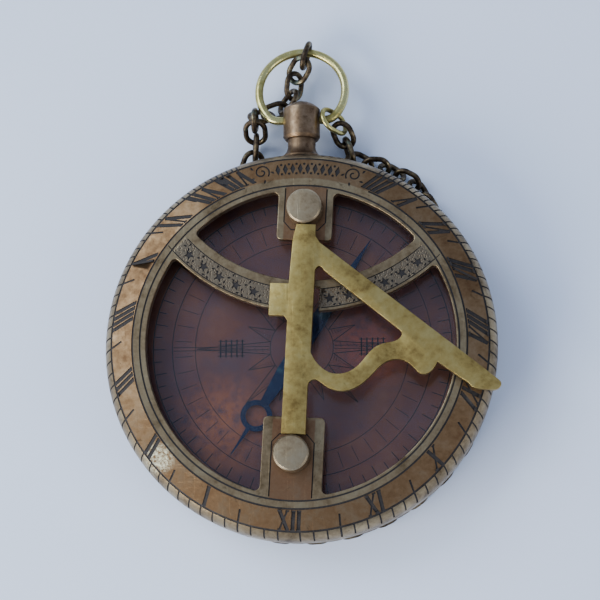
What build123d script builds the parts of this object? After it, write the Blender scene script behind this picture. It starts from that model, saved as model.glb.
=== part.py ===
"""Pocket sundial compass: a folding gnomon over a glazed compass, in a watch-style case with bow and chain."""

import os
from math import acos, atan2, cos, degrees, radians, sin, sqrt

from build123d import *

os.makedirs("parts", exist_ok=True)

# ---- Driving dimensions: millimetres and degrees. Z is up, +Y points to the stem, Z = 0 is the foot.
CASE_R = 32.0  # outside of the case and of the dial ring
FOOT_R = 16.0  # flat of the back that the case lies on
BAND_Z = 5.9  # where the round back meets the upright band
SEAM_Z = 8.6  # joint between case and dial ring
COLLAR_R = 30.8  # collar of the case that the dial ring screws over
COLLAR_Z = 10.5
BORE_R = 29.1  # inside of the case
LEDGE_Z = 5.0  # ledge that carries the compass bowl
LEDGE_R = 25.0
FLOOR_R = 20.0
FLOOR_Z = 1.2

DIAL_TURN = -3.0  # the dial is screwed on a little past the stem
DIAL_Z = 12.3  # flat top of the dial ring
DIAL_T = 1.7
WINDOW_R = 25.1
WINDOW_X = 0.25  # the windows are cut a little off centre
FLAT_R = 27.0  # inner edge of the sloping hour band
HOUR_R = 30.6  # outer edge of the hour band
HOUR_Z = 11.5
CORNER_R = 0.8
STAR_Y = 35.5  # centre of the arc band
STAR_R = (25.6, 30.7)
SLOT_X = (-4.95, 3.0)
SLOT_END_Y = 8.95
SLOT_LENGTH = 6.0
LUG_W = (9.0, 9.9)  # north, south
LUG_END_Y = (16.6, -12.4)

POST_Y = (21.6, -18.5)  # north, south
POST_R = 2.85
POST_TOP_Z = 15.6
SHANK_R = 1.2
SHANK_END_Z = 9.9
BURR_R = 2.1

HINGE_Z = 14.5
GNOMON_T = 1.2
BAR_Y = (18.6, -15.5)
SPIGOT_R = 0.5
SPIGOT_L = 1.6
RUNNING = 0.05  # radial clearance of the running fits

GLASS_Z = 7.6
GLASS_T = 1.0
GLASS_R = 29.0
BOWL_WALL = 0.6
CARD_T = 0.4
CARD_R = 28.3

NEEDLE_TURN = -33.0  # where the north end rests, from +Y
NEEDLE_Z = 6.75
NEEDLE_T = 0.2
NEEDLE_L = 21.5
RING_Y = 13.5  # ring in the needle's tail
PIN_R = 0.3
PIN_TIP_Z = 7.12

STEM_Z = 6.0
BARREL_R = 3.1
BARREL_Y = (35.4, 42.1)
DOME_Y = 40.7  # where the barrel's end starts to round over
NECK_R = 2.35
NECK_FLARE = ((NECK_R, 34.6), (2.6, 33.2), (3.5, 32.3))  # (radius, y): start, middle and end
NECK_ROOT_Y = 30.5
BOW_Y = 38.9  # hinge of the bow
BOW_WIRE_R = 0.7
BOW_R = 7.3  # centreline
BOW_CENTRE = 5.4  # from the hinge to the middle of the ring
BOW_BEND_R = 2.5
BOW_DROOP = -7.5

LINK_WIRE_R = 0.46
LINK_L = 5.3  # outside length
LINK_W = 4.2
HOOK_WIRE_R = 0.42  # the brass link is a little longer and thinner
HOOK_L = 6.3
HOOK_W = 4.9
PITCH = 2.95  # from link to link, a little slack
CHAIN_R = 30.2  # radius of the turn of chain tucked under the rim
CHAIN_Z = 1.65

dial = Plane.XY.rotated((0, 0, DIAL_TURN))
dial_y = dial.y_dir
stem = Axis((0, 0, STEM_Z), (0, 1, 0))
section = Plane.XZ  # radius and height


# ---- Case: shallow cup with a round back, an upright band and a collar
def case_back():
    """Line of the outside of the back, from the middle to the seam."""
    Line((0, 0), (FOOT_R, 0))
    TangentArc((FOOT_R, 0), (CASE_R, BAND_Z), tangent=(1, 0))


with BuildPart() as case_body:
    with BuildSketch(section):
        with BuildLine():
            case_back()
            Polyline(
                (CASE_R, BAND_Z),
                (CASE_R, SEAM_Z),
                (COLLAR_R, SEAM_Z),
                (COLLAR_R, COLLAR_Z),
                (BORE_R, COLLAR_Z),
                (BORE_R, LEDGE_Z),
                (LEDGE_R, LEDGE_Z),
                (LEDGE_R, 3.0),
                (FLOOR_R, FLOOR_Z),
                (0, FLOOR_Z),
                (0, 0),
            )
        make_face()
    revolve(axis=Axis.Z)
case_body.part.label = "case_body"
export_step(case_body.part, "parts/case_body.step")

# ---- Dial ring: domed ring with two windows, two lugs and the arc band between them
with BuildPart() as dial_ring:
    with BuildSketch(section):
        with BuildLine():
            Polyline((0, DIAL_Z - DIAL_T), (0, DIAL_Z), (FLAT_R, DIAL_Z), (HOUR_R, HOUR_Z))
            TangentArc((CASE_R, SEAM_Z), (HOUR_R, HOUR_Z), tangent=(0, 1))
            Polyline(
                (CASE_R, SEAM_Z),
                (COLLAR_R + RUNNING, SEAM_Z),
                (COLLAR_R + RUNNING, DIAL_Z - DIAL_T),
                (0, DIAL_Z - DIAL_T),
            )
        make_face()
    revolve(axis=Axis.Z)
    with BuildSketch(dial.offset(DIAL_Z)) as windows:
        with Locations((WINDOW_X, 0)):
            Circle(WINDOW_R)
        with Locations((0, STAR_Y)):
            Circle(STAR_R[1], mode=Mode.SUBTRACT)
        for width, end_y in zip(LUG_W, LUG_END_Y):
            with Locations((0, end_y)):
                side = Align.MIN if end_y > 0 else Align.MAX
                Rectangle(width, CASE_R, align=(Align.CENTER, side), mode=Mode.SUBTRACT)
        fillet(windows.vertices(), CORNER_R)
    extrude(amount=-DIAL_T, mode=Mode.SUBTRACT)
    with BuildSketch(dial.offset(DIAL_Z)) as north_windows:
        with Locations((WINDOW_X, 0)):
            Circle(WINDOW_R)
        with Locations((0, STAR_Y)):
            Circle(STAR_R[0], mode=Mode.INTERSECT)
        with Locations((0, LUG_END_Y[0])):
            Rectangle(LUG_W[0], CASE_R, align=(Align.CENTER, Align.MIN), mode=Mode.SUBTRACT)
        fillet(north_windows.vertices(), CORNER_R)
    extrude(amount=-DIAL_T, mode=Mode.SUBTRACT)
    with BuildSketch(dial.offset(DIAL_Z)):
        with Locations(((SLOT_X[0] + SLOT_X[1]) / 2, SLOT_END_Y)):
            Rectangle(SLOT_X[1] - SLOT_X[0], SLOT_LENGTH, align=(Align.CENTER, Align.MAX))
    extrude(amount=-DIAL_T, mode=Mode.SUBTRACT)
    with BuildSketch(dial.offset(DIAL_Z)):
        with Locations(*[(0, y) for y in POST_Y]):
            Circle(SHANK_R)
    extrude(amount=-DIAL_T, mode=Mode.SUBTRACT)
dial_ring.part.label = "dial_ring"
export_step(dial_ring.part, "parts/dial_ring.step")


# ---- Hinge posts: round studs riveted through the lugs over a burr, with a side hole for the gnomon
def hinge_post(y, name):
    """One stud at dial height y, with its hole facing the middle of the dial."""
    inward = -1 if y > 0 else 1
    with BuildPart() as post:
        with BuildSketch(dial.offset(DIAL_Z)):
            with Locations((0, y)):
                Circle(POST_R)
        extrude(amount=POST_TOP_Z - DIAL_Z)
        chamfer(post.edges().group_by(Axis.Z)[-1], 0.28)
        with BuildSketch(dial.offset(SHANK_END_Z)):
            with Locations((0, y)):
                Circle(SHANK_R)
        extrude(amount=DIAL_Z - SHANK_END_Z)
        start = dial.from_local_coords(Vector(0, y + inward * POST_R, HINGE_Z))
        with BuildSketch(Plane(origin=start, z_dir=dial_y * -inward)):
            Circle(SPIGOT_R + RUNNING)
        extrude(amount=SPIGOT_L + 0.3, mode=Mode.SUBTRACT)
        with BuildSketch(Plane(origin=start, z_dir=dial_y * inward)):
            Circle(SPIGOT_R + RUNNING)
        extrude(amount=1, mode=Mode.SUBTRACT)
    post.part.label = name
    export_step(post.part, f"parts/{name}.step")
    return post


def rivet_burr(y, name):
    """The small ring under a lug that the stud's shank is riveted over."""
    with BuildPart() as burr:
        with BuildSketch(dial.offset(SHANK_END_Z)):
            with Locations((0, y)):
                Circle(BURR_R)
                Circle(SHANK_R, mode=Mode.SUBTRACT)
        extrude(amount=DIAL_Z - DIAL_T - SHANK_END_Z)
    burr.part.label = name
    export_step(burr.part, f"parts/{name}.step")
    return burr


post_north = hinge_post(POST_Y[0], "post_north")
post_south = hinge_post(POST_Y[1], "post_south")
burr_north = rivet_burr(POST_Y[0], "rivet_burr_north")
burr_south = rivet_burr(POST_Y[1], "rivet_burr_south")

# ---- Gnomon: flat plate with hinge bar, stop tab, sloping style arm and scrolled brace
with BuildPart() as gnomon:
    with BuildSketch(dial.offset(HINGE_Z - GNOMON_T / 2)):
        with BuildLine():
            Polyline((-1.03, BAR_Y[0]), (2.06, BAR_Y[0]), (2.11, 16.72), (2.84, 15.65), (30.48, -4.35))
            Spline(
                (30.48, -4.35),
                (31.95, -5.43),
                (32.59, -6.3),
                (32.05, -7.04),
                (30.28, -7.18),
                (28.42, -7.04),
                (27.44, -6.26),
            )
            Line((27.44, -6.26), (22.44, -3.08))
            Spline(
                (22.44, -3.08),
                (21.66, -4.45),
                (20.78, -5.09),
                (19.99, -5.13),
                (19.11, -4.5),
                (18.03, -3.52),
                (16.56, -2.94),
                (14.21, -3.48),
                (12.84, -4.74),
                (11.27, -6.5),
                (9.41, -7.87),
                (7.74, -8.35),
                (5.78, -8.06),
                (4.41, -7.28),
                (3.33, -6.7),
                (2.55, -6.89),
                (2.11, -7.77),
            )
            Polyline(
                (2.11, -7.77),
                (2.11, BAR_Y[1]),
                (-1.71, BAR_Y[1]),
                (-1.71, 2.67),
                (-2.25, 3.45),
                (-4.75, 3.45),
                (-4.75, 8.72),
                (-1.76, 8.72),
                (-1.52, 16.04),
                (-1.03, BAR_Y[0]),
            )
        make_face()
        with BuildLine():
            Line((2.3, -2.3), (2.3, 11.16))
            Spline((2.3, 11.16), (2.94, 11.75), (3.82, 11.06))
            Line((3.82, 11.06), (16.27, 1.84))
            Spline(
                (16.27, 1.84),
                (16.66, 1.01),
                (16.07, 0.23),
                (14.11, -0.4),
                (12.64, -1.04),
                (11.07, -2.79),
                (9.55, -4.55),
                (7.64, -5.52),
                (5.68, -5.52),
                (3.82, -4.45),
                (2.3, -2.3),
            )
        make_face(mode=Mode.SUBTRACT)
    extrude(amount=GNOMON_T)
    for end_y, way in zip(BAR_Y, (1, -1)):
        root = dial.from_local_coords(Vector(0, end_y - way * 0.3, HINGE_Z))
        with BuildSketch(Plane(origin=root, z_dir=dial_y * way)):
            Circle(SPIGOT_R)
        extrude(amount=SPIGOT_L + 0.3)
gnomon.part.label = "gnomon"
export_step(gnomon.part, "parts/gnomon.step")

# ---- Compass: bowl, card, glass and the ring that holds the glass down
with BuildPart() as compass_bowl:
    with BuildSketch(section):
        with BuildLine():
            Polyline(
                (0, LEDGE_Z),
                (GLASS_R, LEDGE_Z),
                (GLASS_R, GLASS_Z),
                (GLASS_R - BOWL_WALL, GLASS_Z),
                (GLASS_R - BOWL_WALL, LEDGE_Z + BOWL_WALL),
                (0, LEDGE_Z + BOWL_WALL),
                (0, LEDGE_Z),
            )
        make_face()
    revolve(axis=Axis.Z)
compass_bowl.part.label = "compass_bowl"
export_step(compass_bowl.part, "parts/compass_bowl.step")

card_z = LEDGE_Z + BOWL_WALL
with BuildPart() as compass_card:
    with BuildSketch(Plane.XY.offset(card_z)):
        Circle(CARD_R)
        Circle(0.8, mode=Mode.SUBTRACT)
    extrude(amount=CARD_T)
compass_card.part.label = "compass_card"
export_step(compass_card.part, "parts/compass_card.step")

with BuildPart() as glass:
    with BuildSketch(Plane.XY.offset(GLASS_Z)):
        Circle(GLASS_R)
    extrude(amount=GLASS_T)
    chamfer(glass.edges().group_by(Axis.Z)[-1], 0.3)
glass.part.label = "glass"
export_step(glass.part, "parts/glass.step")

with BuildPart() as glass_ring:
    with BuildSketch(Plane.XY.offset(GLASS_Z + GLASS_T)):
        Circle(GLASS_R)
        Circle(GLASS_R - 2.0, mode=Mode.SUBTRACT)
    extrude(amount=DIAL_Z - DIAL_T - GLASS_Z - GLASS_T)
glass_ring.part.label = "glass_ring"
export_step(glass_ring.part, "parts/glass_ring.step")

# ---- Pivot: a boss in the card, a steel pin with a cone point
card_top = card_z + CARD_T
with BuildPart() as pivot_boss:
    with BuildSketch(section):
        with BuildLine():
            Polyline(
                (PIN_R, card_z),
                (0.8, card_z),
                (0.8, card_top),
                (1.6, card_top),
                (1.3, card_top + 0.3),
                (PIN_R, card_top + 0.3),
                (PIN_R, card_z),
            )
        make_face()
    revolve(axis=Axis.Z)
pivot_boss.part.label = "pivot_boss"
export_step(pivot_boss.part, "parts/pivot_boss.step")

with BuildPart() as pivot_pin:
    with BuildSketch(section):
        with BuildLine():
            Polyline(
                (0, card_z),
                (PIN_R, card_z),
                (PIN_R, PIN_TIP_Z - 0.42),
                (0.03, PIN_TIP_Z),
                (0, PIN_TIP_Z),
                (0, card_z),
            )
        make_face()
    revolve(axis=Axis.Z)
pivot_pin.part.label = "pivot_pin"
export_step(pivot_pin.part, "parts/pivot_pin.step")

# ---- Needle: slender blade with a ring in its tail, a brass cap and a jewel that sits on the pin
needle_plane = Plane.XY.rotated((0, 0, NEEDLE_TURN)).offset(NEEDLE_Z)
with BuildPart() as needle:
    with BuildSketch(needle_plane):
        with BuildLine():
            Polyline(
                (0, NEEDLE_L),
                (-1.35, 5.0),
                (-1.35, -5.0),
                (-0.5, -RING_Y),
                (0, -NEEDLE_L),
                (0.5, -RING_Y),
                (1.35, -5.0),
                (1.35, 5.0),
                (0, NEEDLE_L),
            )
        make_face()
        with Locations((0, -RING_Y)):
            Circle(2.6)
            Circle(1.75, mode=Mode.SUBTRACT)
        Circle(0.9, mode=Mode.SUBTRACT)
    extrude(amount=NEEDLE_T)
needle.part.label = "needle"
export_step(needle.part, "parts/needle.step")

cap_flange_z = NEEDLE_Z + NEEDLE_T
with BuildPart() as needle_cap:
    with BuildSketch(section):
        with BuildLine():
            Polyline(
                (0.5, NEEDLE_Z - 0.15),
                (0.9, NEEDLE_Z - 0.15),
                (0.9, cap_flange_z),
                (1.5, cap_flange_z),
                (1.4, cap_flange_z + 0.15),
                (0.85, cap_flange_z + 0.3),
                (0.5, cap_flange_z + 0.3),
                (0.5, NEEDLE_Z - 0.15),
            )
        make_face()
    revolve(axis=Axis.Z)
needle_cap.part.label = "needle_cap"
export_step(needle_cap.part, "parts/needle_cap.step")

with BuildPart() as cap_jewel:
    with BuildSketch(section):
        with BuildLine():
            Polyline((0, 7.15), (0.3, 7.0), (0.5, 7.0), (0.5, 7.25), (0.3, 7.37), (0, 7.4), (0, 7.15))
        make_face()
    revolve(axis=Axis.Z)
cap_jewel.part.label = "cap_jewel"
export_step(cap_jewel.part, "parts/cap_jewel.step")

# ---- Pendant: flared neck on the case, and the round barrel that holds the bow
with BuildPart() as case_envelope:
    with BuildSketch(section):
        with BuildLine():
            case_back()
            Polyline((CASE_R, BAND_Z), (CASE_R, DIAL_Z), (0, DIAL_Z), (0, 0))
        make_face()
    revolve(axis=Axis.Z)

with BuildPart() as pendant_neck:
    with BuildSketch(Plane.XY.offset(STEM_Z)):
        with BuildLine():
            Polyline((0, BARREL_Y[0] + 1), (NECK_R, BARREL_Y[0] + 1), NECK_FLARE[0])
            ThreePointArc(*NECK_FLARE)
            Polyline(NECK_FLARE[2], (NECK_FLARE[2][0], NECK_ROOT_Y), (0, NECK_ROOT_Y), (0, BARREL_Y[0] + 1))
        make_face()
    revolve(axis=stem)
    add(case_envelope.part, mode=Mode.SUBTRACT)
pendant_neck.part.label = "pendant_neck"
export_step(pendant_neck.part, "parts/pendant_neck.step")

with BuildPart() as pendant_barrel:
    with BuildSketch(Plane.XY.offset(STEM_Z)):
        with BuildLine():
            Polyline(
                (0, BARREL_Y[0] + 1),
                (NECK_R, BARREL_Y[0] + 1),
                (NECK_R, BARREL_Y[0]),
                (2.75, BARREL_Y[0]),
                (BARREL_R, BARREL_Y[0] + 0.5),
                (BARREL_R, DOME_Y),
            )
            TangentArc((0, BARREL_Y[1]), (BARREL_R, DOME_Y), tangent=(1, 0))
            Line((0, BARREL_Y[1]), (0, BARREL_Y[0] + 1))
        make_face()
    revolve(axis=stem)
    for way in (1, -1):
        with BuildSketch(Plane(origin=(way * 1.5, BOW_Y, STEM_Z), z_dir=(way, 0, 0))):
            Circle(BOW_WIRE_R + RUNNING)
        extrude(amount=BARREL_R, mode=Mode.SUBTRACT)
pendant_barrel.part.label = "pendant_barrel"
export_step(pendant_barrel.part, "parts/pendant_barrel.step")

# ---- Bow: one ring of wire whose ends bend in to the barrel along the hinge line
bow_plane = Plane(
    origin=(0, BOW_Y, STEM_Z),
    x_dir=(1, 0, 0),
    z_dir=(0, -sin(radians(BOW_DROOP)), cos(radians(BOW_DROOP))),
)
bend_x = sqrt((BOW_R - BOW_BEND_R) ** 2 - (BOW_CENTRE - BOW_BEND_R) ** 2)
bend_turn = degrees(acos((BOW_CENTRE - BOW_BEND_R) / (BOW_R - BOW_BEND_R)))
with BuildPart() as bow:
    with BuildLine(bow_plane) as bow_line:
        Line((1.6, 0), (bend_x, 0))
        right = JernArc((bend_x, 0), (1, 0), BOW_BEND_R, bend_turn)
        ring = JernArc(right @ 1, right % 1, BOW_R, 360 - 2 * bend_turn)
        left = JernArc(ring @ 1, ring % 1, BOW_BEND_R, bend_turn)
        Line(left @ 1, (-1.6, 0))
    with BuildSketch(Plane(origin=bow_line.line @ 0, z_dir=bow_line.line % 0)):
        Circle(BOW_WIRE_R)
    sweep(path=bow_line.line)
bow.part.label = "bow"
export_step(bow.part, "parts/bow.step")

# ---- Chain: oval links of round wire
def oval_link(length, width, wire_r):
    """One link lying flat round the origin, long way along X."""
    bend = width / 2 - wire_r
    half = length / 2 - wire_r - bend
    with BuildPart() as link:
        with BuildLine() as link_line:
            Line((-half, -bend), (half, -bend))
            JernArc((half, -bend), (1, 0), bend, 180)
            Line((half, bend), (-half, bend))
            JernArc((-half, bend), (-1, 0), bend, 180)
        with BuildSketch(Plane(origin=(-half, -bend, 0), z_dir=(1, 0, 0))):
            Circle(wire_r)
        sweep(path=link_line.line)
    return link.part


chain_link = oval_link(LINK_L, LINK_W, LINK_WIRE_R)
brass_link = oval_link(HOOK_L, HOOK_W, HOOK_WIRE_R)


def link_place(start, end, roll):
    """Plane of the link between two joints of the chain: lying flat at roll 0, on edge at 90."""
    along = (end - start).normalized()
    across = along.cross(Vector(0, 0, 1)).normalized()
    turned = across.rotate(Axis((0, 0, 0), tuple(along)), roll)
    return Plane(origin=(start + end) * 0.5, x_dir=along, z_dir=along.cross(turned))


def walk(start, guides):
    """Joints one pitch apart, starting at start and heading for each guide point in turn."""
    joints = [start]
    for guide in guides:
        joints.append(joints[-1] + (Vector(*guide) - joints[-1]).normalized() * PITCH)
    return joints


def chain_strand(joints, rolls, name):
    """Links between each joint and the next, each turned by its roll."""
    with BuildPart() as strand:
        for start, end, roll in zip(joints, joints[1:], rolls):
            with Locations(link_place(start, end, roll)):
                add(chain_link)
    strand.part.label = name
    export_step(strand.part, f"parts/{name}.step")
    return strand


# The bow's strand and the strand that goes under the case hook into each other on the line of the
# bow's hinge, so the bow swings without pulling them apart.
hook = LINK_L / 2 - LINK_WIRE_R - PITCH / 2  # from a link's end wire to its joint
pivot = Vector(-8.0, BOW_Y, STEM_Z)
to_bow = Vector(0, 0.5, -0.866)
to_case = Vector(0, -0.62, -0.785)
bow_joints = walk(
    pivot - to_bow * hook,
    [
        pivot + to_bow * PITCH,
        (-6.3, 41.3, 2.1),
        (-3.8, 42.1, 2.2),
        (-2.0, 44.0, 3.0),
        (-1.4, 46.7, 3.7),
        (0.0, 49.1, 4.9),
        (1.0, 52.1, 4.4),
    ],
)
bow_strand = chain_strand(bow_joints, [90, -30, 60, -50, 50, -10, -90], "chain_bow_strand")
left_joints = walk(
    pivot + to_case * hook,
    [pivot + to_case * 2 * PITCH, (-8.3, 33.4, 1.95), (-9.6, 30.4, 1.75), (-12.4, 27.6, CHAIN_Z)],
)
left_strand = chain_strand(left_joints, [0, 80, -30, 40], "chain_left_strand")

# A brass link hangs round the bow's right-hand end, close to the hinge line, and takes the other end.
hook_middle = Vector(5.4, 38.8, 5.29)
hook_down = Vector(0.65, -0.14, -0.75).normalized()
with BuildPart() as chain_hook_link:
    with Locations(link_place(hook_middle - hook_down, hook_middle + hook_down, -28)):
        add(brass_link)
chain_hook_link.part.label = "chain_hook_link"
export_step(chain_hook_link.part, "parts/chain_hook_link.step")

right_start = hook_middle + hook_down * 1.037  # end wire of the first dark link, in the brass one
to_right = (Vector(7.44, 35.6, 2.53) - right_start).normalized()
right_joints = walk(
    right_start + to_right * hook,
    [
        right_start + to_right * 3 * PITCH,
        (8.2, 33.0, 1.9),
        (10.6, 31.7, 1.7),
        (12.6, 31.5, CHAIN_Z),
        (15.3, 30.4, CHAIN_Z),
        (17.7, 29.0, CHAIN_Z),
        (19.6, 26.8, CHAIN_Z),
        (21.0, 24.2, CHAIN_Z),
        (21.6, 21.6, CHAIN_Z),
    ],
)
right_rolls = [32, 80, -20, 40, -45, 45, -45, 45, -45]
right_strand = chain_strand(right_joints, right_rolls, "chain_right_strand")


def polar(joint):
    """Azimuth in degrees and radius of a joint."""
    return degrees(atan2(joint.Y, joint.X)), sqrt(joint.X**2 + joint.Y**2)


(first_turn, first_r), (last_turn, last_r) = polar(left_joints[-1]), polar(right_joints[-1])
sweep_turn = 360 + last_turn - first_turn
# An odd number of links, so that the last one crosses the end link of the right strand.
count = 2 * round(radians(sweep_turn) * CHAIN_R / PITCH / 2) + 1
rim_joints = []
for i in range(count + 1):
    turn = radians(first_turn + sweep_turn * i / count)
    radius = CHAIN_R
    if i == 0:
        radius = first_r
    if i == count:
        radius = last_r
    rim_joints.append(Vector(radius * cos(turn), radius * sin(turn), CHAIN_Z))
rim_rolls = [-45 if i % 2 == 0 else 45 for i in range(count)]
rim_strand = chain_strand(rim_joints, rim_rolls, "chain_rim_strand")
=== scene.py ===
"""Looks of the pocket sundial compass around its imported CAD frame: metres, +Y to the stem, +Z up."""

from math import asin, atan2, cos, degrees, hypot, pi, radians, sin, tan

import bmesh
import bpy
from mathutils import Matrix, Vector


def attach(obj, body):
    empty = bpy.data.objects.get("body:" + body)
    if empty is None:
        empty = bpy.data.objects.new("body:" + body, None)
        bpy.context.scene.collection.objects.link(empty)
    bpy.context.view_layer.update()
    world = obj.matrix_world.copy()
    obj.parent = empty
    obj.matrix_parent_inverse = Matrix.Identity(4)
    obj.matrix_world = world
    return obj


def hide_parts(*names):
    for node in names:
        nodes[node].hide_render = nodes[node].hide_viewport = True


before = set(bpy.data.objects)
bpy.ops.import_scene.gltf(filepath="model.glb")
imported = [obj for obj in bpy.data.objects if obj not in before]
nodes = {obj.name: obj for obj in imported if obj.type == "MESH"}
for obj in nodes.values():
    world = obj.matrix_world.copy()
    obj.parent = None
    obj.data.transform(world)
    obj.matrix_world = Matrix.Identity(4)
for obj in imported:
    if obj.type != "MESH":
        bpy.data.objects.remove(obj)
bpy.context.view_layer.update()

MM = 0.001

# Dial ring, in millimetres, in its own frame: +Y to its twelve o'clock lug, measured from the case's axis
DIAL_TURN = radians(-3.0)
DIAL_Z = 12.3
INNER_LINE_R = 25.8
FLAT_R = 27.0
HOUR_R, HOUR_Z = 30.6, 11.5
CASE_R, SEAM_Z = 32.0, 8.6
DROP = HOUR_Z - SEAM_Z
SHOULDER_R = ((CASE_R - HOUR_R) ** 2 + DROP**2) / (2 * (CASE_R - HOUR_R))
SHOULDER_TURN = asin(DROP / SHOULDER_R)
SLOPE = atan2(DIAL_Z - HOUR_Z, HOUR_R - FLAT_R)
STYLE_ROOT_Y = 0.625 * HOUR_R  # where the hour lines meet
NOON_GAP = 3.3  # degrees on each side of noon, the width of the gnomon
LAST_TICK = 158.0  # degrees from the bottom, where the scale makes room for the ornament
BAND_MIDDLE_R = (FLAT_R + HOUR_R) / 2
STAR_CENTRE = (0, 35.5)
STAR_LINE_R = 28.8
STAR_STEP = 6.2  # degrees
STAR_EDGES = ((27.1, 44.5), (30.2, 47.2))  # of each border line: radius, and degrees from its lowest point
STAR_MIDDLE_R = (STAR_EDGES[0][0] + STAR_EDGES[1][0]) / 2
STAR_GAP_TURN = (8.0, 6.5)  # degrees left clear beside the slot, west and east
STAR_GAP_X = (-5.4, 3.6)
LUG_LINE_X = 3.4
LUG_PANEL_Y = (18.3, -15.2)  # inner ends of the panels, north and south
WORN_SPOT = (-22.4, -18.7)  # in the row frame
BEND_ANGLE = 30.0  # degrees; sharper edges are shaded sharp

ENGRAVE = 0.14  # depth
PROUD = 0.25  # height of the cutters above the surface
DOT_SIDES = 10


# ---- Shader helpers
class Shader:
    """A material with one Principled node, and short calls for the nodes that feed it."""

    def __init__(self, name, metallic=1.0, roughness=0.4):
        self.material = bpy.data.materials.new(name)
        self.material.use_nodes = True
        self.tree = self.material.node_tree
        self.principled = self.tree.nodes["Principled BSDF"]
        self.principled.inputs["Metallic"].default_value = metallic
        self.principled.inputs["Roughness"].default_value = roughness
        self.place = self.node("ShaderNodeTexCoord").outputs["Object"]
        self.heights = []

    def node(self, kind, **settings):
        made = self.tree.nodes.new(kind)
        for key, value in settings.items():
            setattr(made, key, value)
        return made

    def feed(self, socket, value):
        """Links a socket to another node's output, or sets it to a plain value."""
        if isinstance(value, bpy.types.NodeSocket):
            self.tree.links.new(value, socket)
        else:
            socket.default_value = value

    def math(self, operation, a, b=0.0):
        made = self.node("ShaderNodeMath", operation=operation)
        for socket, value in zip(made.inputs, (a, b)):
            self.feed(socket, value)
        return made.outputs[0]

    def stretched(self, scale, turn):
        """Object coordinates scaled by three factors and turned about +Z by radians."""
        made = self.node("ShaderNodeMapping")
        self.feed(made.inputs["Vector"], self.place)
        made.inputs["Scale"].default_value = scale
        made.inputs["Rotation"].default_value = (0, 0, turn)
        return made.outputs[0]

    def noise(self, size, detail=4.0, rough=0.55, warp=0.0, vector=None):
        """Noise with features of about that size in millimetres."""
        made = self.node("ShaderNodeTexNoise")
        self.feed(made.inputs["Vector"], vector or self.place)
        made.inputs["Scale"].default_value = 1 / (size * MM)
        made.inputs["Detail"].default_value = detail
        made.inputs["Roughness"].default_value = rough
        made.inputs["Distortion"].default_value = warp
        return made.outputs["Fac"]

    def cells(self, size):
        """Distance to the nearest of points about that far apart in millimetres."""
        made = self.node("ShaderNodeTexVoronoi")
        self.feed(made.inputs["Vector"], self.place)
        made.inputs["Scale"].default_value = 1 / (size * MM)
        return made.outputs["Distance"]

    def step(self, value, low, high, to_low=0.0, to_high=1.0):
        """Value taken from low..high to to_low..to_high, held at the ends."""
        made = self.node("ShaderNodeMapRange")
        for socket, number in zip(made.inputs, (value, low, high, to_low, to_high)):
            self.feed(socket, number)
        return made.outputs[0]

    def ramp(self, value, stops):
        """Colour for a value, from pairs of place and colour."""
        made = self.node("ShaderNodeValToRGB")
        self.feed(made.inputs["Fac"], value)
        points = made.color_ramp.elements
        while len(points) < len(stops):
            points.new(0.5)
        for point, (place, colour) in zip(points, stops):
            point.position = place
            point.color = (*colour, 1)
        return made.outputs["Color"]

    def mix(self, amount, a, b):
        """Colour a taken to colour b by amount."""
        made = self.node("ShaderNodeMix", data_type="RGBA")
        self.feed(made.inputs[0], amount)
        for socket, value in ((made.inputs[6], a), (made.inputs[7], b)):
            self.feed(socket, (*value, 1) if isinstance(value, tuple) else value)
        return made.outputs[2]

    def radius(self, centre=(0, 0)):
        """Distance in millimetres from an upright line through centre."""
        made = self.node("ShaderNodeMapping")
        self.feed(made.inputs["Vector"], self.place)
        made.inputs["Location"].default_value = (-centre[0], -centre[1], 0)
        made.inputs["Scale"].default_value = (1 / MM, 1 / MM, 0)
        length = self.node("ShaderNodeVectorMath", operation="LENGTH")
        self.feed(length.inputs[0], made.outputs[0])
        return length.outputs["Value"]

    def corner_shade(self, distance):
        """Ambient occlusion, for painted shade: 1 in open places, towards 0 in corners nearer than distance
        in millimetres.
        """
        made = self.node("ShaderNodeAmbientOcclusion", samples=6)
        made.inputs["Distance"].default_value = distance * MM
        return made.outputs["AO"]

    def relief(self, value, height):
        """Adds a height in millimetres to the bump."""
        self.heights.append(self.math("MULTIPLY", value, height * MM))

    def done(self, colour, roughness=None):
        self.feed(self.principled.inputs["Base Color"], colour)
        if roughness is not None:
            self.feed(self.principled.inputs["Roughness"], roughness)
        if self.heights:
            total = self.heights[0]
            for height in self.heights[1:]:
                total = self.math("ADD", total, height)
            bump = self.node("ShaderNodeBump")
            bump.inputs["Distance"].default_value = 1.0
            self.feed(bump.inputs["Height"], total)
            self.feed(self.principled.inputs["Normal"], bump.outputs[0])
        return self.material


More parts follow.
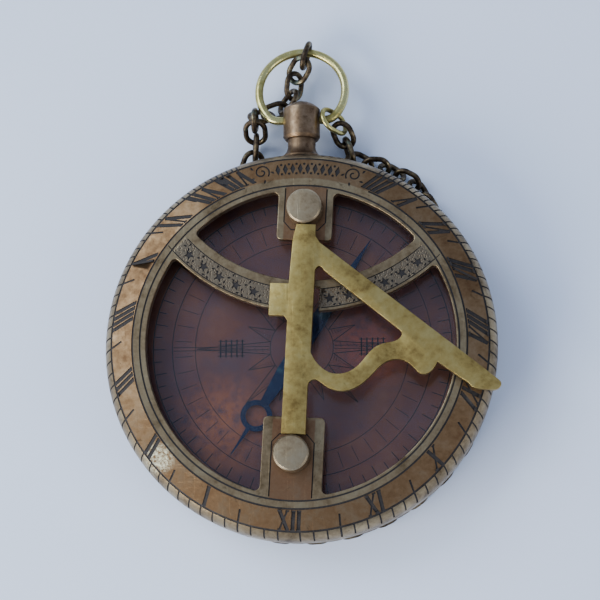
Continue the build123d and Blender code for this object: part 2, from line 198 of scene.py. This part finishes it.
def aged_brass(name, dark, body, light, rough=(0.28, 0.5), stains=0.5, zones=None):
    """Handled brass: cloudy tarnish, small stains, fine scratches, and painted shade darkening the corners.
    """
    s = Shader(name)
    cloud = s.noise(6.0, detail=5, warp=0.6)
    fine = s.noise(0.9, detail=6, rough=0.65)
    tone = s.math("ADD", s.math("MULTIPLY", cloud, 0.62), s.math("MULTIPLY", fine, 0.38))
    colour = s.ramp(tone, [(0.34, dark), (0.48, body), (0.66, light)])
    if zones:
        colour = zones(s, colour, tone)
    spots = s.step(s.noise(1.7, detail=3, rough=0.7, warp=1.2), 0.63, 0.72)
    colour = s.mix(s.math("MULTIPLY", spots, stains), colour, tuple(c * 0.42 for c in dark))
    pits = s.step(s.cells(0.55), 0.06, 0.14)
    pitted = s.math("MULTIPLY", s.math("SUBTRACT", 1.0, pits), 0.5 * stains)
    colour = s.mix(pitted, colour, (0.05, 0.035, 0.02))
    # Painted shade: corners and recesses nearer than 1.1 mm are darkened by ambient occlusion, and made
    # rougher
    unshaded = s.step(s.corner_shade(1.1), 0.35, 0.95)
    colour = s.mix(unshaded, s.mix(0.72, colour, (0.055, 0.036, 0.02)), colour)
    hair = s.noise(1.0, detail=2, vector=s.stretched((0.12, 5.0, 1.0), 0.5))
    cross = s.noise(1.0, detail=2, vector=s.stretched((4.0, 0.10, 1.0), -0.35))
    s.relief(s.step(hair, 0.62, 0.68), -0.006)
    s.relief(s.step(cross, 0.63, 0.69), -0.005)
    s.relief(fine, 0.016)
    s.relief(cloud, 0.05)
    s.relief(pits, 0.008)
    worn = s.step(tone, 0.35, 0.68, rough[1], rough[0])
    roughness = s.math("ADD", worn, s.math("MULTIPLY", s.math("SUBTRACT", 1.0, unshaded), 0.25))
    return s.done(colour, roughness)


def dial_zones(s, colour, tone):
    """Greenish rim, coppery hour band and lug panels, pale ground behind the stars, and one worn spot."""
    from_middle = s.math("ABSOLUTE", s.math("SUBTRACT", s.radius(), BAND_MIDDLE_R))
    band = s.step(from_middle, 1.65, 1.85, 1.0, 0.0)
    coppery = [(0.34, (0.12, 0.06, 0.027)), (0.5, (0.22, 0.125, 0.057)), (0.68, (0.32, 0.205, 0.105))]
    shade = s.ramp(tone, coppery)
    colour = s.mix(band, colour, shade)
    split = s.node("ShaderNodeSeparateXYZ")
    s.feed(split.inputs[0], s.stretched((1, 1, 1), -DIAL_TURN))
    across = s.math("ABSOLUTE", split.outputs[0])
    along = s.math("ABSOLUTE", split.outputs[1])
    soft = 0.05
    inside = s.step(across, (LUG_LINE_X - soft) * MM, (LUG_LINE_X + soft) * MM, 1.0, 0.0)
    within_line = s.step(s.radius(), INNER_LINE_R - soft, INNER_LINE_R + soft, 1.0, 0.0)
    inside = s.math("MULTIPLY", inside, within_line)
    inside = s.math("MULTIPLY", inside, s.step(along, 12.5 * MM, 13 * MM))
    colour = s.mix(inside, colour, s.mix(0.35, shade, (0.20, 0.10, 0.06)))
    to_stars = s.radius(turned(STAR_CENTRE))
    ground = s.step(s.math("ABSOLUTE", s.math("SUBTRACT", to_stars, STAR_MIDDLE_R)), 1.5, 1.6, 1.0, 0.0)
    ground = s.math("MULTIPLY", ground, s.step(s.radius(), 25.2, 25.5, 1.0, 0.0))
    stipple = s.step(s.cells(0.34), 0.2, 0.5)
    pale = s.mix(stipple, (0.10, 0.07, 0.045), (0.19, 0.145, 0.095))
    s.relief(s.math("MULTIPLY", ground, stipple), 0.03)
    colour = s.mix(s.math("MULTIPLY", ground, 0.85), colour, pale)
    worn = s.step(s.radius(WORN_SPOT), 1.2, 2.9, 1.0, 0.0)
    worn = s.math("MULTIPLY", worn, s.step(s.noise(0.5, detail=5, rough=0.8), 0.42, 0.6))
    return s.mix(worn, colour, (0.86, 0.78, 0.50))


def turned(point):
    """A place in the dial's frame, taken to the row frame."""
    x, y = point
    return x * cos(DIAL_TURN) - y * sin(DIAL_TURN), x * sin(DIAL_TURN) + y * cos(DIAL_TURN)


def dark_fill():
    """Blackened wax and dirt in the engraving."""
    s = Shader("engraving_fill", metallic=0.2, roughness=0.62)
    grain = s.noise(0.25, detail=4)
    s.relief(grain, 0.03)
    return s.done(s.ramp(grain, [(0.3, (0.008, 0.006, 0.005)), (0.7, (0.035, 0.024, 0.016))]))


def card_copper():
    """Dark reddish copper, stained purple and brown under old lacquer, with two pools of orange glare painted
    on.
    """
    s = Shader("compass_card_copper", metallic=0.75)
    cloud = s.noise(16.0, detail=4, warp=0.8)
    fine = s.noise(1.4, detail=6, rough=0.7)
    tone = s.math("ADD", s.math("MULTIPLY", cloud, 0.75), s.math("MULTIPLY", fine, 0.25))
    stops = [
        (0.32, (0.13, 0.07, 0.07)), (0.46, (0.18, 0.075, 0.06)),
        (0.58, (0.25, 0.09, 0.05)), (0.7, (0.30, 0.13, 0.07)),
    ]
    colour = s.ramp(tone, stops)
    # Painted glare: two soft orange pools of reflected light, one below and left of the middle, one right of
    # it
    for centre, reach, glare_colour in (((-13, -12), 9, (0.62, 0.18, 0.05)), ((11, 0), 8, (0.55, 0.12, 0.05))):
        near = s.step(s.radius(centre), 0.5, reach, 0.75, 0.0)
        colour = s.mix(s.math("MULTIPLY", near, s.step(fine, 0.3, 0.6)), colour, glare_colour)
    s.relief(fine, 0.02)
    s.relief(cloud, 0.1)
    return s.done(colour, s.step(tone, 0.35, 0.65, 0.5, 0.36))


def needle_steel():
    """Blued steel, nearly black, greener where it has worn."""
    s = Shader("needle_blue_steel", roughness=0.32)
    tone = s.noise(2.0, detail=4)
    s.relief(s.noise(0.3), 0.008)
    stops = [(0.35, (0.012, 0.02, 0.045)), (0.55, (0.025, 0.04, 0.075)), (0.72, (0.05, 0.10, 0.11))]
    colour = s.ramp(tone, stops)
    return s.done(colour, s.step(tone, 0.3, 0.7, 0.3, 0.45))


def chain_bronze():
    """Darkened brass wire, rubbed bright and greenish where the links touch."""
    s = Shader("chain_dark_bronze", metallic=1.0)
    tone = s.noise(1.2, detail=5, rough=0.65)
    stops = [
        (0.33, (0.025, 0.017, 0.012)), (0.5, (0.085, 0.058, 0.035)),
        (0.6, (0.17, 0.12, 0.06)), (0.72, (0.34, 0.29, 0.17)),
    ]
    colour = s.ramp(tone, stops)
    verdigris = s.step(s.noise(2.3, detail=3), 0.62, 0.7, 0.0, 0.6)
    colour = s.mix(verdigris, colour, (0.12, 0.16, 0.12))
    s.relief(tone, 0.06)
    return s.done(colour, s.step(tone, 0.4, 0.7, 0.55, 0.28))


def clear_glass():
    """Thin old glass: clear, a little cool, with dust and faint smears."""
    s = Shader("old_glass")
    tree = s.tree
    clear = s.node("ShaderNodeBsdfTransparent")
    clear.inputs["Color"].default_value = (0.93, 0.95, 0.97, 1)
    shine = s.node("ShaderNodeBsdfGlossy")
    shine.inputs["Color"].default_value = (0.95, 0.88, 0.86, 1)
    smear = s.noise(7.0, detail=5, warp=0.8)
    s.feed(shine.inputs["Roughness"], s.step(smear, 0.3, 0.7, 0.03, 0.16))
    edge = s.node("ShaderNodeFresnel")
    edge.inputs["IOR"].default_value = 1.5
    pane = s.node("ShaderNodeMixShader")
    s.feed(pane.inputs[0], s.math("MULTIPLY", edge.outputs[0], 0.5))
    tree.links.new(clear.outputs[0], pane.inputs[1])
    tree.links.new(shine.outputs[0], pane.inputs[2])
    dust = s.node("ShaderNodeBsdfDiffuse")
    dust.inputs["Color"].default_value = (0.45, 0.44, 0.48, 1)
    specks = s.step(s.cells(0.9), 0.04, 0.08, 0.3, 0.0)
    haze = s.step(smear, 0.4, 0.75, 0.0, 0.022)
    dusty = s.node("ShaderNodeMixShader")
    s.feed(dusty.inputs[0], s.math("MAXIMUM", specks, haze))
    tree.links.new(pane.outputs[0], dusty.inputs[1])
    tree.links.new(dust.outputs[0], dusty.inputs[2])
    tree.links.new(dusty.outputs[0], tree.nodes["Material Output"].inputs["Surface"])
    tree.nodes.remove(s.principled)
    return s.material


def jewel_stone():
    s = Shader("cap_jewel_stone", metallic=0.0, roughness=0.12)
    tone = s.noise(0.3)
    return s.done(s.ramp(tone, [(0.35, (0.02, 0.14, 0.13)), (0.65, (0.07, 0.34, 0.30))]))


# ---- Mesh helpers
def link_object(name, bm, materials):
    """A mesh object of bm with smooth faces, and sharp edges above BEND_ANGLE."""
    mesh = bpy.data.meshes.new(name)
    bm.to_mesh(mesh)
    bm.free()
    mesh.polygons.foreach_set("use_smooth", [True] * len(mesh.polygons))
    mesh.set_sharp_from_angle(angle=radians(BEND_ANGLE))
    for material in materials:
        mesh.materials.append(material)
    made = bpy.data.objects.new(name, mesh)
    bpy.context.scene.collection.objects.link(made)
    return made


def eased(node, width):
    """The CAD node's solid with its edges rounded over by width millimetres, as a bmesh."""
    bm = bmesh.new()
    bm.from_mesh(nodes[node].data)
    bmesh.ops.remove_doubles(bm, verts=bm.verts, dist=0.0002 * MM)
    bmesh.ops.dissolve_limit(bm, angle_limit=radians(0.4), verts=bm.verts, edges=bm.edges)
    fold = radians(24)
    edges = [e for e in bm.edges if len(e.link_faces) == 2 and e.calc_face_angle(0) > fold]
    bmesh.ops.bevel(
        bm, geom=edges, offset=width * MM, segments=3, profile=0.5, affect="EDGES", clamp_overlap=True
    )
    for face in bm.faces:
        face.material_index = 0
    return bm


def dial_point(x, y, lift):
    """A point on the dial's top above (x, y) of its own frame, raised by lift along the surface's normal."""
    u, turn = hypot(x, y), atan2(y, x) + DIAL_TURN
    if u <= FLAT_R:
        radius, height = u, DIAL_Z + lift
    elif u <= HOUR_R:
        radius = u + lift * sin(SLOPE)
        height = DIAL_Z - (u - FLAT_R) * tan(SLOPE) + lift * cos(SLOPE)
    else:
        lean = SHOULDER_TURN - (u - HOUR_R) / SHOULDER_R
        radius = CASE_R - SHOULDER_R + (SHOULDER_R + lift) * cos(lean)
        height = SEAM_Z + (SHOULDER_R + lift) * sin(lean)
    return Vector((radius * cos(turn), radius * sin(turn), height)) * MM


def card_point(x, y, lift):
    """A point above the compass card, in the row frame."""
    return Vector((x, y, CARD_TOP + lift)) * MM


class Strokes:
    """Closed bars that follow a surface: cutters for engraving, or lines lying on it."""

    def __init__(self, point=dial_point, low=-ENGRAVE, high=PROUD):
        self.bm = bmesh.new()
        self.point, self.low, self.high = point, low, high

    def ring(self, left, right):
        """The four corners of a bar's section between two points."""
        corners = [(left, self.low), (right, self.low), (right, self.high), (left, self.high)]
        return [self.bm.verts.new(self.point(p[0], p[1], lift)) for p, lift in corners]

    def line(self, points, width, closed=False):
        """A bar along points; width is a number, or one for each point."""
        widths = width if isinstance(width, (list, tuple)) else [width] * len(points)
        count = len(points)
        rings = []
        for i, (x, y) in enumerate(points):
            before = points[i - 1] if closed or i else points[i]
            after = points[(i + 1) % count] if closed or i + 1 < count else points[i]
            dx, dy = after[0] - before[0], after[1] - before[1]
            length = hypot(dx, dy) or 1.0
            nx, ny = -dy / length * widths[i] / 2, dx / length * widths[i] / 2
            rings.append(self.ring((x + nx, y + ny), (x - nx, y - ny)))
        pairs = list(zip(rings, rings[1:])) + ([(rings[-1], rings[0])] if closed else [])
        for a, b in pairs:
            for k in range(4):
                self.bm.faces.new((a[k], a[(k + 1) % 4], b[(k + 1) % 4], b[k]))
        if not closed:
            self.bm.faces.new(rings[0])
            self.bm.faces.new(rings[-1][::-1])

    def arc(self, radius, width, start=0.0, end=360.0, centre=(0, 0), step=1.5):
        """A bar along an arc; degrees anticlockwise from +X."""
        closed = end - start >= 360
        count = max(2, round((end - start) / step))
        turns = [radians(start + (end - start) * i / count) for i in range(count + (0 if closed else 1))]
        self.line([(centre[0] + radius * cos(t), centre[1] + radius * sin(t)) for t in turns], width, closed)

    def shape(self, outline):
        """A prism on a closed outline."""
        low = [self.bm.verts.new(self.point(x, y, self.low)) for x, y in outline]
        high = [self.bm.verts.new(self.point(x, y, self.high)) for x, y in outline]
        self.bm.faces.new(low[::-1])
        self.bm.faces.new(high)
        for i in range(len(outline)):
            k = (i + 1) % len(outline)
            self.bm.faces.new((low[i], low[k], high[k], high[i]))

    def dot(self, x, y, radius):
        turns = [2 * pi * i / DOT_SIDES for i in range(DOT_SIDES)]
        self.shape([(x + radius * cos(t), y + radius * sin(t)) for t in turns])

    def finish(self, material_index=1):
        """The bmesh, with its normals outwards and every face of one material."""
        bmesh.ops.recalc_face_normals(self.bm, faces=self.bm.faces)
        for face in self.bm.faces:
            face.material_index = material_index
        return self.bm


def carve(target, strokes, materials):
    """Cuts the strokes out of the target; the cut faces take the second material.

    The quick way fails on some strokes that cross each other and drops the body, so it is tried first
    and the slower one, which allows for crossings, is used when faces have gone missing.
    """
    cutter = link_object(target.name + "_cutter", strokes.finish(), materials)
    cut = target.modifiers.new("cut", "BOOLEAN")
    cut.operation = "DIFFERENCE"
    cut.solver = "EXACT"
    cut.object = cutter
    whole = body_faces(target.data)
    for crossing in (False, True):
        cut.use_self = crossing
        graph = bpy.context.evaluated_depsgraph_get()
        result = bpy.data.meshes.new_from_object(target.evaluated_get(graph))
        if body_faces(result) > 0.9 * whole:
            break
    target.modifiers.clear()
    target.data = result
    bpy.data.objects.remove(cutter)


def body_faces(mesh):
    """The number of faces that aren't cut faces."""
    return sum(1 for face in mesh.polygons if face.material_index == 0)


# ---- Dial ring: hour scale, minute track, star band, lug panels and ornament
def scale_place(theta):
    """Angle from the bottom of the dial, in degrees, of the line for an hour angle; both may be negative."""
    if theta == 0:
        return 0.0
    bent = degrees(asin(STYLE_ROOT_Y / HOUR_R * sin(radians(abs(theta)))))
    return (abs(theta) + bent + NOON_GAP) * (1 if theta > 0 else -1)


def on_dial(turn, u):
    """Place at a radius and an angle from the bottom, clockwise, of the dial."""
    return -u * sin(radians(turn)), -u * cos(radians(turn))


def hour_line(turn, u):
    """Unit direction, outwards, of the hour line through that place."""
    x, y = on_dial(turn, u)
    root_x = 0.0 if turn == 0 else (-1 if turn > 0 else 1) * HOUR_R * sin(radians(NOON_GAP))
    return Vector((x - root_x, y - STYLE_ROOT_Y)).normalized()


BAND_U = (27.4, 30.3)  # radii of the heads and feet of the numerals
THICK, THIN, SERIF = 0.62, 0.3, 0.27  # widths of their strokes
HALF_TICK = 2.1  # reach of a half-hour mark into the band
HOURS_TICKED = 9  # on each side of noon
GLYPH_W = {"I": 0.92, "V": 2.1, "X": 2.15}
LEFT_HOURS = ("I", "II", "III", "IIII", "V", "VI", "VII", "VIII")
RIGHT_HOURS = ("XI", "X", "IX", "VIII", "VII", "VI", "V", "IIII")


def glyph(letter, turn, thick, thin, serifs):
    """One letter of a numeral, with its head towards the middle and its stem along the hour line."""
    middle = sum(BAND_U) / 2
    px, py = on_dial(turn, middle)
    line = hour_line(turn, middle)
    radial = Vector(on_dial(turn, 1.0))
    reach = (BAND_U[1] - BAND_U[0]) / line.dot(radial)
    right = Vector((cos(radians(turn)), -sin(radians(turn))))

    def place(a, b):
        spot = Vector((px, py)) + right * a - line * reach * (b - 0.5)
        return spot.x, spot.y

    def bar(group, start, end, width):
        middle_spot = ((start[0] + end[0]) / 2, (start[1] + end[1]) / 2)
        group.line([place(*start), place(*middle_spot), place(*end)], width)

    def serif(a, b, half=0.36):
        serifs.line([place(a - half, b), place(a + half, b)], SERIF)

    if letter == "I":
        bar(thick, (0, 0.02), (0, 0.98), THICK)
        serif(0, 0.0)
        serif(0, 1.0)
    if letter == "V":
        bar(thick, (-0.62, 1.0), (0.06, 0.0), THICK)
        bar(thin, (0.62, 1.0), (0.12, 0.0), THIN)
        serif(-0.62, 1.0)
        serif(0.62, 1.0, 0.3)
    if letter == "X":
        bar(thick, (-0.62, 1.0), (0.62, 0.0), THICK)
        bar(thin, (0.6, 1.0), (-0.6, 0.0), THIN)
        for a in (-0.62, 0.62):
            serif(a, 0.0, 0.3)
            serif(a, 1.0, 0.3)


def numeral(text, turn, thick, thin, serifs):
    """A numeral, read with its head towards the middle, about an angle from the bottom."""
    width = sum(GLYPH_W[letter] for letter in text)
    at = -width / 2
    for letter in text:
        at += GLYPH_W[letter] / 2
        glyph(letter, turn - degrees(at / (sum(BAND_U) / 2)), thick, thin, serifs)
        at += GLYPH_W[letter] / 2


def star(x, y, radius, aim):
    """Outline of a five-pointed star."""
    spots = []
    for i in range(10):
        reach, turn = radius if i % 2 == 0 else radius * 0.42, aim + i * pi / 5
        spots.append((x + reach * cos(turn), y + reach * sin(turn)))
    return spots


def leaf(x, y, length, width, aim):
    """Outline of a pointed leaf."""
    forward, side = Vector((cos(aim), sin(aim))), Vector((-sin(aim), cos(aim)))
    shape = [(0, 0), (0.3, 0.8), (0.6, 1.0), (1, 0), (0.6, -0.6), (0.3, -0.5)]
    spots = [Vector((x, y)) + forward * length * a + side * width / 2 * b for a, b in shape]
    return [(p.x, p.y) for p in spots]


def tick(turn, half_hour, ticks):
    """A mark over the shoulder; at a half hour it runs into the hour band too."""
    lean = 0.45 * sin(radians(turn))
    points = [on_dial(turn - lean * k, HOUR_R + 0.9 * k) for k in range(4)]
    if half_hour:
        place, direction = Vector(on_dial(turn, HOUR_R)), hour_line(turn, HOUR_R)
        points = [tuple(place - direction * HALF_TICK * share) for share in (1, 0.5)] + points
    ticks.line(points, 0.32 if half_hour else 0.27)


def make_dial(brass, fill):
    """The dial ring with its edges eased and its whole engraving cut."""
    materials = [brass, fill]
    dial = link_object("dial_ring_engraved", eased("dial_ring", 0.13), materials)
    lines, ticks, thick, thin, serifs, marks, vines = (Strokes() for _ in range(7))

    lines.arc(INNER_LINE_R, 0.28)
    gap = 180 - LAST_TICK
    lines.arc(FLAT_R + 0.05, 0.3, 90 + gap, 450 - gap)
    lines.arc(HOUR_R, 0.36)
    cx, cy = STAR_CENTRE
    west_gap, east_gap = STAR_GAP_TURN
    for radius, ends in STAR_EDGES:
        for start, end in ((270 - ends, 270 - west_gap), (270 + east_gap, 270 + ends)):
            lines.arc(radius, 0.16, start, end, STAR_CENTRE)
    for way, near in zip((1, -1), LUG_PANEL_Y):
        far, corner = way * (INNER_LINE_R - 0.3) * 0.99, near + way * 1.3
        inset = LUG_LINE_X - 1.2
        lines.line(
            [(-LUG_LINE_X, far), (-LUG_LINE_X, corner), (-inset, near),
             (inset, near), (LUG_LINE_X, corner), (LUG_LINE_X, far)],
            0.2,
        )

    for minute in range(0, 60 * HOURS_TICKED, 10):
        for way in (1, -1):
            turn = way * (scale_place(minute / 4) if minute else NOON_GAP)
            if abs(turn) > LAST_TICK:
                continue
            tick(turn, minute % 60 == 30, ticks)

    numeral("XII", 0, thick, thin, serifs)
    for hour, (left, right) in enumerate(zip(LEFT_HOURS, RIGHT_HOURS), start=1):
        numeral(left, scale_place(15 * hour), thick, thin, serifs)
        numeral(right, -scale_place(15 * hour), thick, thin, serifs)

    for k in range(-7, 7):
        aim = radians(270 + STAR_STEP * (k + 0.5))
        x, y = cx + STAR_LINE_R * cos(aim), cy + STAR_LINE_R * sin(aim)
        if STAR_GAP_X[0] < x < STAR_GAP_X[1]:
            continue
        marks.shape(star(x, y, 0.95, aim + pi))
        for side, shift in ((1, 0.36), (-1, -0.36)):
            between = aim + radians(STAR_STEP * shift)
            reach = STAR_LINE_R + side * 0.85
            bx, by = cx + reach * cos(between), cy + reach * sin(between)
            for lean in (0.9, 3.0, 5.1):
                way = between + lean
                vines.shape(leaf(bx + 0.18 * cos(way), by + 0.18 * sin(way), 0.62, 0.4, way))

    ornament(marks)
    for strokes in (lines, ticks, thick, thin, serifs, marks, vines):
        carve(dial, strokes, materials)
    true_normals(dial.data)
    return dial


def section_normal(spot, radius):
    """The dial's normal above a spot in millimetres, in the zone of its section that holds radius."""
    out = Vector((spot.x, spot.y, 0)).normalized()
    if radius <= FLAT_R:
        return Vector((0, 0, 1))
    if radius <= HOUR_R:
        return out * sin(SLOPE) + Vector((0, 0, cos(SLOPE)))
    reach = hypot(spot.x, spot.y) - (CASE_R - SHOULDER_R)
    return (out * reach + Vector((0, 0, spot.z - SEAM_Z))).normalized()


def true_normals(mesh):
    """Takes the shading of the dial's top from its section, so that the cuts leave it smooth."""
    mesh.set_sharp_from_angle(angle=radians(BEND_ANGLE))
    normals = [corner.vector.copy() for corner in mesh.corner_normals]
    for face in mesh.polygons:
        if face.material_index:
            continue
        radius = hypot(face.center.x, face.center.y) / MM
        for index in face.loop_indices:
            spot = mesh.vertices[mesh.loops[index].vertex_index].co / MM
            normal = section_normal(spot, radius)
            if normal.dot(face.normal) > 0.985:
                normals[index] = normal
    mesh.normals_split_custom_set(normals)


def ornament(marks):
    """Lozenges and dots in the hour band, small leaves on the shoulder and a leafy scroll at each end."""
    step = 2.45
    for k in range(-4, 5):
        turn = 180 + step * k
        x, y = on_dial(turn, BAND_MIDDLE_R)
        aim = atan2(y, x)
        spots = [(1.0, 0), (0, 0.42), (-1.0, 0), (0, -0.42)]
        marks.shape([(x + a * cos(aim) - b * sin(aim), y + a * sin(aim) + b * cos(aim)) for a, b in spots])
        x, y = on_dial(turn, 32.0)
        marks.shape(leaf(x, y, 0.85, 0.5, atan2(y, x) + pi / 2 * (1 if k > 0 else -1)))
    for k in range(-4, 4):
        for u in (27.95, 29.65):
            marks.dot(*on_dial(180 + step * (k + 0.5), u), 0.22)
    for way in (1, -1):
        x, y = on_dial(180 + way * 15.2, 28.9)
        facing = atan2(y, x)
        curl = []
        for i in range(25):
            reach, angle = 0.25 + 1.1 * i / 24, facing + way * i * 0.36
            curl.append((x + reach * cos(angle), y + reach * sin(angle)))
        marks.line(curl, 0.26)
        for lean in (0.4, 1.7, 2.9, 4.1, 5.2):
            angle = facing + way * lean
            marks.shape(leaf(x + 1.45 * cos(angle), y + 1.45 * sin(angle), 0.8, 0.45, angle + way * 0.6))


# ---- Compass card: engraved rose, meridian lines and degree scale
CARD_TOP = 6.0
CARD_INK = (-0.01, 0.03)
HUB_R = 5.3  # feet of the rose's points
ROSE_REACH = (17.4, 9.5, 13.0, 9.5)  # cardinal, small, diagonal and small points
LATTICE_X = 11.6


def around(radius, turn):
    return radius * cos(turn), radius * sin(turn)


def rose_point(card, turn, reach):
    """One point of the rose: two sides, one of them hatched."""
    half = radians(22.5) / 2
    tip = around(reach, turn)
    for side in (1, -1):
        card.line([around(HUB_R, turn + side * half), tip], 0.13)
    for i in range(1, 9):
        share = i / 9
        foot = around(HUB_R, turn + half * (1 - share))
        end = HUB_R + (reach - HUB_R) * share
        spot = (foot[0] + (tip[0] - foot[0]) * share * 0.8, foot[1] + (tip[1] - foot[1]) * share * 0.8)
        card.line([around(end * 0.98, turn), spot], 0.07)


def make_card_lines(material):
    card = Strokes(card_point, *CARD_INK)
    for radius, width in ((24.6, 0.16), (21.4, 0.12), (17.6, 0.1), (5.2, 0.12)):
        card.arc(radius, width, step=4)
    for k in range(72):
        turn = radians(5 * k)
        card.line([around(23.2 if k % 2 else 22.6, turn), around(24.5, turn)], 0.14)
    for k in range(16):
        rose_point(card, radians(22.5 * k), ROSE_REACH[k % 4])
    for k in range(48):
        turn = radians(7.5 * k + 3.75)
        card.line([around(18.2, turn), around(20.9, turn)], 0.09)
    for y in (-0.28, 0.28):
        for start, end in ((-21.2, -5.4), (5.4, 21.2)):
            card.line([(start, y), (end, y)], 0.1)
    for x in (-LATTICE_X, LATTICE_X):
        for k in range(-2, 3):
            card.line([(x + k * 0.9, -1.5), (x + k * 0.9, 1.5)], 0.22)
            card.line([(x - 2.2, k * 0.62), (x + 2.2, k * 0.62)], 0.12)
    lines = link_object("card_engraving", card.finish(0), [material])
    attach(lines, "case")


# ---- Everything that is shown
brass = aged_brass("case_aged_brass", (0.10, 0.066, 0.034), (0.24, 0.17, 0.09), (0.40, 0.30, 0.17))
dial_brass = aged_brass(
    "dial_aged_brass", (0.10, 0.066, 0.033), (0.235, 0.165, 0.088), (0.38, 0.285, 0.155), zones=dial_zones
)
gnomon_brass = aged_brass(
    "gnomon_yellow_brass", (0.19, 0.12, 0.035), (0.41, 0.285, 0.085), (0.57, 0.43, 0.155),
    rough=(0.3, 0.46), stains=0.35,
)
post_brass = aged_brass("post_worn_brass", (0.16, 0.11, 0.06), (0.33, 0.24, 0.135), (0.47, 0.365, 0.22))
bow_brass = aged_brass(
    "bow_pale_brass", (0.26, 0.20, 0.05), (0.52, 0.43, 0.14), (0.74, 0.66, 0.30),
    rough=(0.2, 0.36), stains=0.25,
)
pendant_copper = aged_brass(
    "pendant_red_brass", (0.085, 0.046, 0.024), (0.21, 0.13, 0.07), (0.34, 0.235, 0.14)
)
bowl_brass = aged_brass("bowl_dull_brass", (0.10, 0.07, 0.035), (0.24, 0.17, 0.085), (0.38, 0.29, 0.15))
fill = dark_fill()
ink = dark_fill()
steel = needle_steel()
bronze = chain_bronze()
plain = {
    "case_body": brass, "pendant_neck": pendant_copper, "pendant_barrel": pendant_copper,
    "rivet_burr_north": post_brass, "rivet_burr_south": post_brass, "compass_bowl": bowl_brass,
    "glass_ring": bowl_brass, "compass_card": card_copper(), "glass": clear_glass(), "pivot_boss": bowl_brass,
    "pivot_pin": steel, "needle": steel, "needle_cap": bowl_brass, "cap_jewel": jewel_stone(),
    "bow": bow_brass, "chain_hook_link": bow_brass, "chain_bow_strand": bronze, "chain_left_strand": bronze,
    "chain_right_strand": bronze, "chain_rim_strand": bronze,
}
for name, material in plain.items():
    nodes[name].data.materials.clear()
    nodes[name].data.materials.append(material)

dial = make_dial(dial_brass, fill)
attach(dial, "case")
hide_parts("dial_ring")

for node, width, material, body, slot in (
    ("gnomon", 0.16, gnomon_brass, "gnomon", "gnomon_brass"),
    ("post_north", 0.09, post_brass, "case", "post_brass"),
    ("post_south", 0.09, post_brass, "case", "post_brass"),
):
    piece = link_object(node + "_finished", eased(node, width), [material])
    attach(piece, body)
    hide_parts(node)

make_card_lines(ink)

# ---- Stage, light and camera
floor_mesh = bpy.data.meshes.new("floor")
floor_bm = bmesh.new()
bmesh.ops.create_grid(floor_bm, x_segments=1, y_segments=1, size=1.5)
floor_bm.to_mesh(floor_mesh)
floor_bm.free()
floor = bpy.data.objects.new("floor", floor_mesh)
bpy.context.scene.collection.objects.link(floor)
pale = Shader("pale_floor", metallic=0.0, roughness=0.75)
paper = pale.ramp(pale.noise(60.0), [(0.3, (0.80, 0.86, 0.97)), (0.7, (0.84, 0.89, 0.98))])
floor_mesh.materials.append(pale.done(paper))

world = bpy.data.worlds.new("studio")
world.use_nodes = True
world.node_tree.nodes["Background"].inputs["Color"].default_value = (0.52, 0.66, 0.98, 1)
world.node_tree.nodes["Background"].inputs["Strength"].default_value = 0.74
bpy.context.scene.world = world


def softbox(name, place, aim, size, power, colour):
    light = bpy.data.lights.new(name, "AREA")
    light.shape = "RECTANGLE"
    light.size, light.size_y = size
    light.energy = power
    light.color = colour
    made = bpy.data.objects.new(name, light)
    made.location = place
    made.rotation_euler = (Vector(aim) - Vector(place)).to_track_quat("-Z", "Y").to_euler()
    bpy.context.scene.collection.objects.link(made)


softbox("window_left", (-0.45, -0.34, 0.30), (0, 0, 0), (0.5, 0.3), 5.0, (0.94, 0.97, 1.0))
softbox("sky_left", (-0.55, 0.30, 0.55), (0, 0, 0), (0.5, 0.5), 4.6, (0.70, 0.83, 1.0))
softbox("fill_right", (0.5, -0.25, 0.35), (0, 0, 0), (0.3, 0.3), 0.9, (0.95, 0.97, 1.0))

TILT, AROUND = radians(13.0), radians(22.0)
DISTANCE = 0.296
AIM = Vector((0.00026, 0.00663, 0.0123))
to_camera = Vector((sin(TILT) * sin(AROUND), -sin(TILT) * cos(AROUND), cos(TILT)))
camera_data = bpy.data.cameras.new("camera")
camera_data.sensor_width = 36.0
camera_data.lens = 110.0
camera_data.clip_start, camera_data.clip_end = 0.01, 10.0
camera = bpy.data.objects.new("camera", camera_data)
right = Vector((0, 1, 0)).cross(to_camera).normalized()
up = to_camera.cross(right)
turn = Matrix((right, up, to_camera)).transposed().to_4x4()
camera.matrix_world = Matrix.Translation(AIM + to_camera * DISTANCE) @ turn
bpy.context.scene.collection.objects.link(camera)
bpy.context.scene.camera = camera
